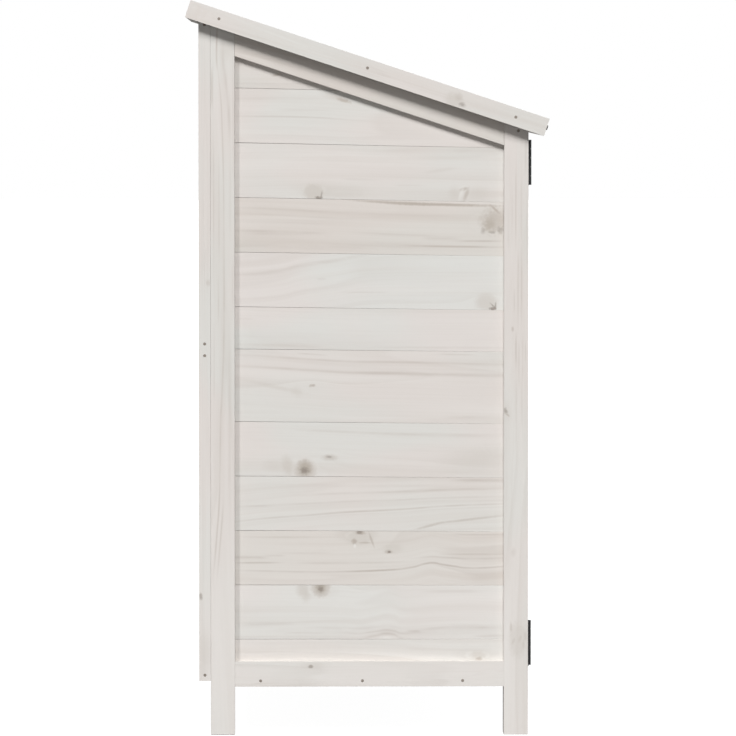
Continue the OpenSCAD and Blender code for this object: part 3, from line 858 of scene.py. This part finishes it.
# Marks: board, column, row, half width, half height, degrees turned, softness, raggedness, depth, tint
SIDE_MARKS = [
    (9, 340, 193, 26, 7, 0, 0.6, 0.6, 0.35, STAIN),
    (9, 313.5, 192.5, 9.5, 8, 0, 0.3, 0.6, 0.8, STAIN),
    (9, 318.5, 198.5, 3.0, 1.6, 0, 0.6, 2.4, 0.85, BARK),
    (9, 321.5, 196, 0.8, 3.4, 8, 0.7, 1.6, 0.6, BARK),
    (9, 463, 189.8, 3.4, 1.6, -20, 0.6, 1.0, 0.7, BROWN),
    (9, 466, 195, 1.6, 6, 20, 0.7, 0.8, 0.6, BROWN),
    (9, 454, 194, 5, 6, 0, 0.8, 0.6, 0.4, STAIN),
    (9, 461, 194, 1.6, 6, 18, 0.8, 0.6, 0.6, BARE),
    (9, 478, 193, 9, 5, 0, 0.8, 0.6, 0.35, STAIN),
    (9, 440, 171, 13, 1.6, -8, 0.8, 0.6, 0.35, STAIN),
    (8, 383, 202.6, 26, 1.1, 3.2, 0.8, 0.8, 0.8, BROWN),
    (8, 412, 204.2, 22, 1.5, 1.8, 0.8, 0.8, 0.95, BROWN),
    (8, 450, 205.3, 42, 1.3, 1.4, 0.8, 0.8, 0.95, BROWN),
    (8, 494.5, 209.7, 5, 1.1, 42, 0.6, 0.8, 0.9, BROWN),
    (8, 494, 221, 13, 11, -15, 0.55, 1.2, 0.62, BROWN),
    (8, 489, 226, 4.5, 6.5, 12, 0.7, 1.2, 0.4, OLIVE),
    (8, 482.5, 231, 1.8, 3.0, 0, 0.8, 1.0, 0.4, BARK),
    (8, 500, 230.5, 2.6, 3.2, 0, 0.8, 1.4, 0.5, BARK),
    (8, 492, 233, 3.0, 1.2, 0, 0.7, 1.0, 0.5, BARK),
    (7, 486, 302, 10, 8, 0, 0.4, 0.5, 0.6, STAIN),
    (7, 492.5, 306, 0.8, 3.4, -45, 0.6, 1.2, 0.6, BARK),
    (7, 492, 309, 3.0, 1.4, 0, 0.6, 2.4, 0.85, BARK),
    (7, 495, 306, 0.8, 3.2, 8, 0.7, 1.6, 0.6, BARK),
    (10, 336, 98.5, 11, 2.6, 12, 0.8, 0.8, 0.55, STAIN),
    (10, 344, 101.5, 7, 1.5, 16, 0.6, 1.2, 0.8, BROWN),
    (11, 277, 76, 4.5, 1.3, -12, 0.7, 1.0, 0.6, BROWN),
    (5, 312.5, 385.5, 2.8, 1.3, -8, 0.6, 1.8, 0.8, BROWN),
    (5, 276, 387, 26, 1.8, 13, 0.9, 0.8, 0.4, STAIN),
    (5, 297, 391.5, 5, 4, 25, 0.9, 0.8, 0.35, STAIN),
    (4, 288, 466, 5.5, 9, -20, 0.7, 0.6, 0.7, STAIN),
    (4, 274, 466, 9, 5, 0, 0.8, 0.6, 0.35, STAIN),
    (4, 305, 469, 12.5, 12.5, 0, 0.2, 0.4, 0.5, BARE),
    (4, 305, 470, 11, 11.5, 0, 0.3, 0.5, 0.55, BROWN),
    (4, 305, 468.5, 6, 6.5, 0, 0.5, 1.0, 0.6, OLIVE),
    (4, 304.5, 470.5, 3.4, 3, 0, 0.6, 2.0, 0.85, BARK),
    (4, 329.5, 457.5, 7, 2.8, 0, 0.6, 0.8, 0.45, BROWN),
    (4, 329.2, 456.8, 2.4, 1.1, 0, 0.6, 1.0, 0.5, BARK),
    (4, 478, 459, 30, 9, -4, 0.9, 0.5, 0.45, STAIN),
    (3, 429, 526, 13, 1.1, -14, 0.8, 0.7, 0.5, BROWN),
    (3, 470, 519.5, 30, 1.1, -6.5, 0.8, 0.7, 0.5, BROWN),
    (2, 359, 537, 12, 7, 0, 0.5, 0.9, 0.6, STAIN),
    (2, 360, 532.6, 5, 2.0, 0, 0.5, 1.4, 0.9, BROWN),
    (2, 359, 532.3, 2.6, 1.5, 0, 0.5, 1.4, 0.7, BARK),
    (2, 354.3, 541.5, 2.6, 2.4, 0, 0.6, 1.2, 0.9, BROWN),
    (2, 354.8, 546, 1.2, 2.0, 0, 0.6, 0.5, 0.8, BARE),
    (2, 371.5, 540, 1.0, 7.0, -20, 0.6, 0.7, 0.6, BROWN),
    (2, 364.5, 542.7, 5, 0.8, 0, 0.6, 0.7, 0.6, BROWN),
    (2, 393, 549, 9, 4.5, 0, 0.6, 0.7, 0.45, STAIN),
    (2, 388.5, 551.8, 4.0, 1.8, 0, 0.5, 0.8, 0.6, BROWN),
    (2, 389.2, 552, 1.7, 1.0, 0, 0.5, 0.5, 0.95, BARK),
    (1, 303, 590, 6, 7, 0, 0.6, 0.8, 0.6, STAIN),
    (1, 307, 597, 3.5, 5, 25, 0.8, 0.8, 0.4, STAIN),
    (1, 320.5, 588, 11.5, 10.5, 0, 0.2, 0.4, 0.5, BARE),
    (1, 320.8, 588, 9.5, 9, 0, 0.3, 0.6, 0.55, BROWN),
    (1, 320.5, 588, 4.8, 4.8, 0, 0.5, 1.0, 0.6, OLIVE),
    (1, 320.5, 589, 2.6, 2.4, 0, 0.6, 2.2, 0.8, BARK),
    (1, 386, 638, 6, 1.4, 0, 0.6, 0.5, 0.6, BARE),
    (0, 478, 655.5, 7.5, 4.2, 0, 0.6, 0.9, 0.6, STAIN),
    (0, 479, 659, 3.0, 1.6, 0, 0.6, 1.6, 0.7, BROWN),
]

# The figure of each board: how far its grain falls along it, as column and rows, and its drawn lines,
# as row at the left end, how closely they follow the fall, first and last column, thickness and depth
SIDE_GRAIN = {
    10: ([(236, 0), (320, 1.5), (362, 4), (506, 6)],
         [(117, 1, 238, 330, 0.9, 0.5), (111, 0, 280, 332, 1.5, 0.2), (99.5, 0, 240, 330, 2.0, 0.2),
          (117.5, 1, 320, 372, 0.9, 0.25)]),
    9: ([(236, 0), (300, -1), (400, 1), (506, 3)],
        [(186, 0, 396, 422, 0.9, 0.25), (151.5, 0, 452, 500, 2.2, 0.3), (162, 1, 290, 390, 1.5, 0.15),
         (180, 1, 344, 378, 1.0, 0.25)]),
    8: ([(236, 0), (280, 1.5), (320, 4), (345, 5), (400, 7.5), (480, 9), (506, 9.2)],
        [(208, 1, 238, 350, 1.4, 0.4), (208, 1, 340, 500, 1.4, 0.3), (214, 1, 240, 350, 1.1, 0.3),
         (231, 0.6, 238, 322, 1.6, 0.55), (234, 0.2, 245, 300, 1.2, 0.35), (227.5, 1, 362, 432, 1.1, 0.35),
         (230.5, 1, 424, 458, 1.8, 0.4), (241.5, 0, 455, 500, 0.9, 0.8), (238.3, 1, 411, 506, 1.0, 0.95),
         (222, 0.5, 250, 330, 1.0, 0.2), (247, 0, 240, 420, 4.0, 0.3)]),
    7: ([(236, 0.5), (282, -3.5), (300, -8), (335, -13), (365, -18), (430, -19), (506, -19)],
        [(274, 1, 236, 366, 2.2, 0.4), (292.5, 0, 345, 386, 0.8, 0.3), (279, 0, 317, 326, 1.0, 0.3),
         (292, 1, 410, 506, 1.0, 0.12)]),
    6: ([(236, 0), (285, 1.5), (320, 2.5), (506, 4)],
        [(344, 1, 236, 318, 1.8, 0.3), (344, 1, 376, 506, 1.1, 0.28), (319, 0, 238, 254, 1.0, 0.2)]),
    5: ([(236, -0.3), (262, 1), (300, 3.5), (350, 6.5), (400, 7.3), (450, 8.5), (506, 9.5)],
        [(355, 1, 236, 420, 1.1, 0.45), (355, 1, 390, 520, 1.1, 0.4), (366, 1, 280, 400, 1.6, 0.45),
         (366, 1, 230, 300, 1.4, 0.3), (366.3, 1, 360, 520, 1.9, 0.5), (350, 1, 299, 326, 0.7, 0.5),
         (346, 1, 440, 472, 0.7, 0.4), (417.5, 0, 448, 492, 1.8, 0.3)]),
    4: ([(236, 0), (300, 1), (345, 3), (395, 5), (450, 6.5), (506, 7)],
        [(429, 1, 298, 400, 1.2, 0.32), (429, 1, 385, 484, 1.5, 0.4), (445, 1, 380, 480, 1.5, 0.12)]),
    3: ([(236, 0), (262, -3), (310, -6.5), (340, -9), (400, -12), (440, -15), (506, -17.5)],
        [(521.5, 1, 232, 380, 1.0, 0.5), (521.5, 1, 350, 515, 0.9, 0.6), (507.5, 0.63, 250, 400, 1.1, 0.35),
         (507.5, 0.63, 380, 500, 1.1, 0.32), (498.3, 0.55, 298, 420, 1.2, 0.35),
         (498.3, 0.55, 400, 500, 1.3, 0.45), (480.5, 0, 455, 506, 1.8, 0.6), (486, 0, 332, 460, 1.4, 0.25),
         (506, 0.1, 238, 270, 1.0, 0.25), (477, 0, 330, 506, 3.5, 0.25)]),
    2: ([(236, 0), (395, -0.3), (412, -2.5), (425, -6), (432, -7), (441, -5.5), (455, -3.5), (466, -2),
         (506, -3.5)],
        [(570, 1, 236, 370, 0.9, 0.55), (570, 1, 345, 448, 1.0, 1.0), (570, 1, 430, 510, 0.9, 0.8),
         (559.6, 0.4, 418, 510, 1.0, 0.6), (554.4, 0, 444, 510, 0.7, 0.6), (562.6, 0, 236, 280, 0.9, 0.8),
         (557.3, 0, 234, 266, 1.4, 0.7), (555.5, 0, 265, 284, 0.9, 0.5), (562.4, 0.4, 292, 405, 1.1, 0.45),
         (537, 0, 250, 336, 1.0, 0.45), (534.8, 0, 450, 510, 0.9, 0.5), (553, 0, 278, 330, 1.2, 0.25)]),
    1: ([(236, 0), (312, 0), (345, 0.5), (360, 1.5), (370, 0), (378, -1.5), (386, -3), (394, -1.8),
         (402, 1.5), (415, 1), (445, -1), (470, -1.5), (506, 0)],
        [(636.8, 1, 366, 404, 1.2, 0.55), (632.5, 0.7, 345, 420, 1.0, 0.35),
         (627.8, 0.6, 310, 404, 1.3, 0.25), (623.5, 0, 236, 290, 1.8, 0.3),
         (629, 1, 428, 498, 1.6, 0.4), (633, 0, 288, 322, 0.9, 0.35),
         (631.4, 0, 407, 420, 1.1, 0.4), (591.5, 0, 424, 480, 1.8, 0.3), (636.3, 0, 476, 506, 1.2, 0.4),
         (631, 0.3, 250, 506, 6, 0.2)]),
    0: ([(236, 0), (400, 1), (420, 3), (506, 4)],
        [(646, 1, 398, 470, 1.6, 0.2), (643, 0, 240, 380, 1.6, 0.15)]),
}

# How warm and dark each board of the left side is, from the lowest up
SIDE_TONES = [0.35, 0.15, 1.1, 0.5, 0.35, 0.4, 0.2, 0.15, 0.95, 0.35, 0.35, 0.6]

# Marks of the left posts, the bottom rail and the barge board, numbered -1 as no board's own
POST_MARKS = [
    (-1, 505, 410.5, 1.6, 2.8, -20, 0.7, 2.0, 0.85, BARK),
    (-1, 507, 414.5, 0.9, 2.4, -50, 0.7, 1.2, 0.7, BROWN),
    (-1, 506, 411, 4, 9, -12, 0.8, 0.6, 0.3, STAIN),
    (-1, 512, 329, 1.2, 2.2, 0, 0.6, 0.8, 0.5, BROWN),
    (-1, 201, 596, 1.5, 3.2, 0, 0.6, 1.2, 0.6, BARK),
    (-1, 228, 50, 8, 9, 0, 0.8, 0.6, 0.35, STAIN),
    (-1, 208.5, 283, 1.8, 3, 0, 0.7, 0.8, 0.35, BROWN),
    (-1, 205, 652, 6, 18, 0, 0.8, 0.8, 0.35, STAIN),
    (-1, 513, 552, 2.2, 4, 0, 0.7, 0.8, 0.2, BROWN),
    (-1, 517.5, 640, 9, 17, 0, 0.35, 0.8, 0.4, STAIN),
    (-1, 510.5, 627, 1.2, 5, 0, 0.6, 0.8, 0.35, BROWN),
    (-1, 525, 636, 1.2, 4, 0, 0.6, 0.8, 0.25, BROWN),
    (-1, 513, 641, 1.4, 3, 25, 0.6, 0.8, 0.25, BROWN),
    (-1, 519.5, 639, 1.2, 3.5, 20, 0.6, 0.8, 0.25, BROWN),
    (-1, 523, 645, 1.2, 4, 0, 0.6, 0.8, 0.2, BROWN),
    (-1, 506, 655, 3, 90, 0, 0.5, 0.4, 0.5, BARE),
    (-1, 224, 655, 12, 85, 0, 0.3, 0.3, 0.3, BARE),
]

# The figure of the left posts: a path of (row, column) points, and lines as in SIDE_GRAIN but upright
POST_LINES = [
    ([(40, 217.5), (60, 217.3), (80, 219.5), (100, 221.5), (130, 222.8), (180, 224), (260, 224.5)],
     [(217.5, 1, 30, 66, 0.9, 0.9), (217.5, 1, 50, 265, 0.7, 0.5), (224, 1.1, 44, 130, 1.6, 0.45),
      (212.6, 0, 68, 108, 1.1, 0.6), (214.3, 0, 150, 262, 0.6, 0.5), (219.5, 0, 160, 255, 0.8, 0.35),
      (233.6, 0, 60, 180, 0.7, 0.35), (228.5, 0.3, 100, 240, 1.5, 0.25)]),
    ([(240, 224.5), (330, 224.3), (380, 223), (420, 221), (500, 219.5), (535, 217), (575, 213.6)],
     [(224.5, 1, 255, 440, 0.9, 0.5), (224.5, 1, 400, 520, 0.7, 0.35), (224.5, 1, 490, 575, 0.9, 0.6),
      (228.5, 1, 505, 572, 0.9, 0.5), (219, 0, 275, 320, 0.8, 0.4), (233.2, 0, 262, 310, 1.0, 0.4),
      (229.8, 0, 335, 520, 1.6, 0.3), (214.6, 0, 330, 395, 0.7, 0.4)]),
    ([(140, 515), (300, 515.3), (450, 515.6)],
     [(515, 0, 172, 245, 0.9, 0.45), (520.5, 0, 185, 245, 0.8, 0.35), (507.5, 0, 205, 250, 1.0, 0.25),
      (511.5, 0, 195, 240, 1.2, 0.25), (517.4, 0, 255, 325, 0.9, 0.5), (520.8, 0, 255, 320, 0.8, 0.45),
      (513.5, 0, 290, 312, 0.6, 0.4), (515.2, 0, 336, 370, 0.9, 0.6), (518.3, 0, 342, 385, 0.8, 0.4),
      (522, 0, 336, 380, 0.8, 0.35), (524.8, 0, 342, 362, 0.6, 0.4), (515.6, 0, 378, 446, 0.9, 0.35),
      (521.3, 0, 382, 424, 0.7, 0.3), (526, 0, 185, 270, 0.6, 0.3), (525, 0, 140, 172, 1.2, 0.4)]),
]
RAIL_MARKS = [
    (-1, 310.5, 666, 2.3, 1.4, 0, 0.6, 1.4, 0.95, BARK),
    (-1, 314, 665, 12, 3, 0, 0.8, 0.8, 0.4, STAIN),
]
BARGE_MARKS = [
    (-1, 453, 101, 8.5, 7, 18, 0.5, 0.8, 0.6, STAIN),
    (-1, 458, 98, 3.2, 3.2, 18, 0.8, 1.2, 0.3, BROWN),
    (-1, 461, 105.5, 3.0, 1.8, 18, 0.8, 2.0, 0.6, BARK),
]

side_wood = whitewash("side_boards_wood", "y", seed=1.7, tones=SIDE_TONES, knots=SIDE_KNOTS,
                      marks=SIDE_MARKS, figures=SIDE_GRAIN)
far_wood = whitewash("far_side_boards_wood", "y", seed=41.3)
post_wood = whitewash("post_wood", "z", seed=5.2, tone=0.4, marks=POST_MARKS, lines=POST_LINES)
rail_wood = whitewash("rail_wood", "y", seed=9.4, tone=0.45, marks=RAIL_MARKS)
# The top rails' darker tone is partly the wood's own tan colour and partly painted shade from the roof
# above them
top_rail_wood_and_shade = whitewash("top_rail_wood_and_shade", "slope", seed=12.6, tone=1.05)
cross_wood = whitewash("cross_wood", "x", seed=14.8)
roof_wood = whitewash("roof_wood", "slope", seed=21.1, marks=BARGE_MARKS)
iron = black_metal("black_iron", colour(36, 36, 38), colour(58, 57, 57))
screw_black = black_metal("screw_black", colour(50, 49, 49), colour(88, 86, 84))
steel = nail_steel()

# The wood of each node. The boards of the left side come first, because their numbers start at 0
cleats = [node for node in body_of_node if node.endswith("cleat")]
WOOD = {
    side_wood: ["left_side_boards"],
    post_wood: [node for node in body_of_node if node.endswith("post") or node.endswith("stile")],
    rail_wood: cleats + ["left_bottom_rail", "right_bottom_rail"],
    top_rail_wood_and_shade: ["left_top_rail", "right_top_rail"],
    roof_wood: ["left_barge_board", "right_barge_board"],
    far_wood: ["right_side_boards"],
}
METAL = {
    iron: [node for node, slot in slot_of_node.items() if slot == "black_iron"],
    screw_black: ["fascia_screws"],
    steel: ["frame_nails"],
}
taken = {node for nodes in (*WOOD.values(), *METAL.values()) for node in nodes}
WOOD[cross_wood] = [node for node in body_of_node if node not in taken]

# No node has more boards than this, so each board of the shed has a number of its own
BOARDS_A_NODE = 20
first_number = 0
for material, nodes in WOOD.items():
    for node in nodes:
        dress_wood(node, material, first_number)
        first_number += BOARDS_A_NODE

SCREW_EASE = 0.001
IRON_EASE = 0.0003
IRON_SHARP = 40
for material, nodes in METAL.items():
    for node in nodes:
        piece = merged_copy(node)
        ease(piece, SCREW_EASE if node == "fascia_screws" else IRON_EASE, angle=IRON_SHARP)
        smooth(piece)
        finish_piece(piece, node, material)

# Inward is the way along X from a side's post to its door
screw = make_screw(radius=0.0023, height=0.0009)
for side, inward in (("left", 1), ("right", -1)):
    add_screws(side + "_post_hinge_leaves", side + "_post_hinge_screws",
               leaf_screw_places(side + "_post_hinge_leaves", -inward), screw)
    add_screws(side + "_door_hinge_leaves", side + "_door_hinge_screws",
               leaf_screw_places(side + "_door_hinge_leaves", inward), screw)
for node in ("bolt_plate", "bolt_keeper"):
    low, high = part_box(node)
    face = high.y - PLATE_T
    x = high.x - PLATE_SCREW_IN if node == "bolt_plate" else low.x + KEEPER_SCREW_IN
    lower = ((x, face, low.z + SCREW_FROM_END), 20)
    upper = ((x, face, high.z - SCREW_FROM_END), 55)
    add_screws(node, node + "_screws", [lower, upper], screw)
bpy.data.objects.remove(screw)

bpy.context.scene.view_settings.view_transform = "Standard"
